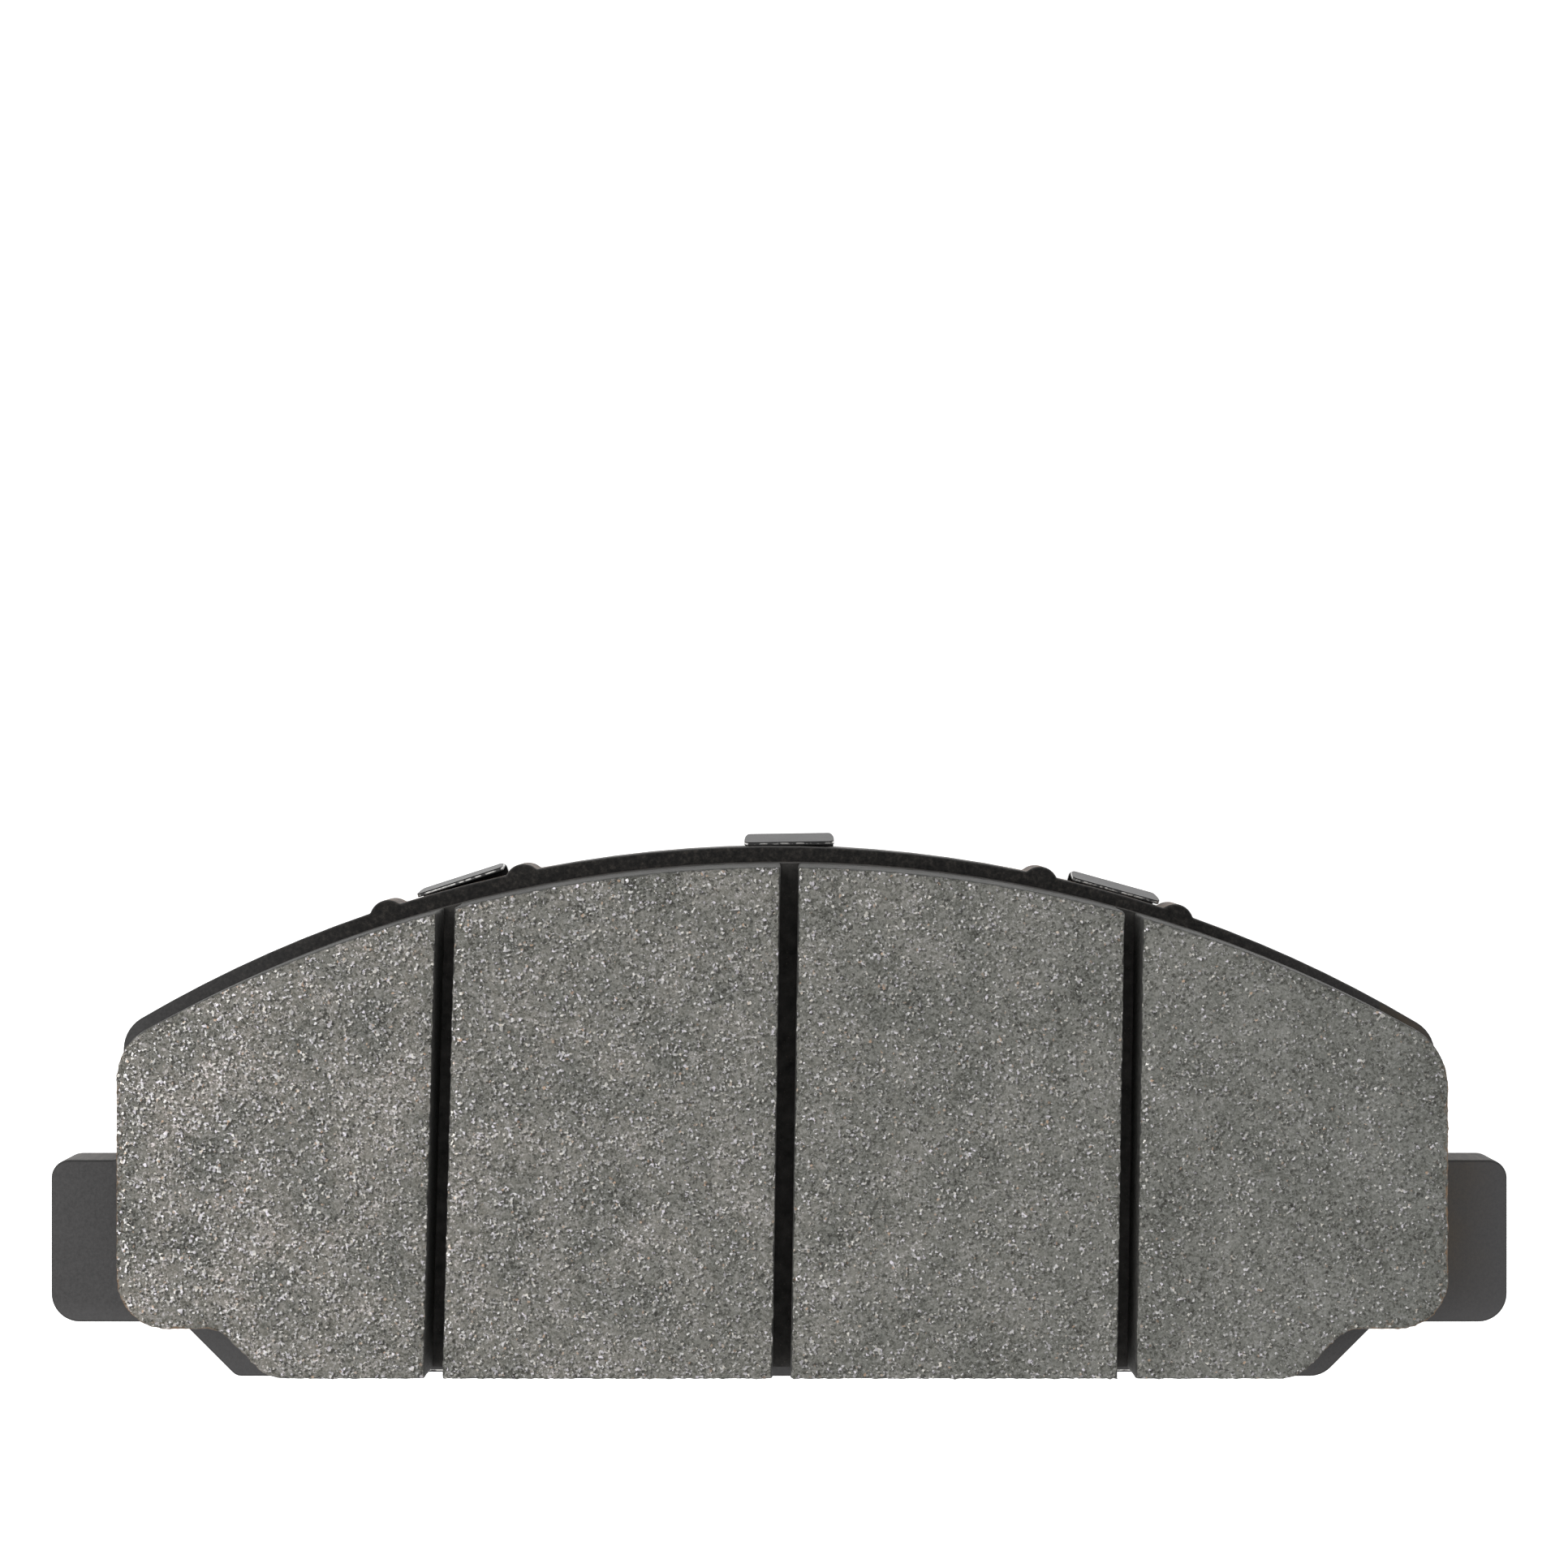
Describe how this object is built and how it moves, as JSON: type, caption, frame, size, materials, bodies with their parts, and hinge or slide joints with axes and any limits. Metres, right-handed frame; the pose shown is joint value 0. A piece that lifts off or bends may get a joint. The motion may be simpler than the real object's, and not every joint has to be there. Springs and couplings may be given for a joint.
{
  "type": "disc brake pad",
  "caption": "Flat disc brake pad with a slotted friction block on an eared steel backing plate, held in a clip-on laminated shim.",
  "frame": {"origin": "middle of the pad's length and height, on the surface that the pad lies on, which is the back of its shim", "axes": "+X along the length towards one ear, +Y towards the arched edge, +Z out of the friction face"},
  "size_m": [0.194, 0.0726, 0.0172],
  "materials": {
    "plate_steel": "fine-grained black powder coat on blanked steel, light rust haze on one ear",
    "friction_compound": "ground semi-metallic compound, grey, with bright metal fibres and small dark pits",
    "underlayer_compound": "smooth moulded dark grey compound",
    "adhesive": "cured brown adhesive film",
    "shim_rubber": "satin black nitrile coat",
    "shim_steel": "bright sheared sheet steel"
  },
  "bodies": {
    "root": {"backing_plate": "plate_steel", "bond_film": "adhesive", "underlayer": "underlayer_compound", "friction_segment_1": "friction_compound", "friction_segment_2": "friction_compound", "friction_segment_3": "friction_compound", "friction_segment_4": "friction_compound", "shim_inner_coat": "shim_rubber", "shim_core": "shim_steel", "shim_outer_coat": "shim_rubber"}
  },
  "joints": []
}
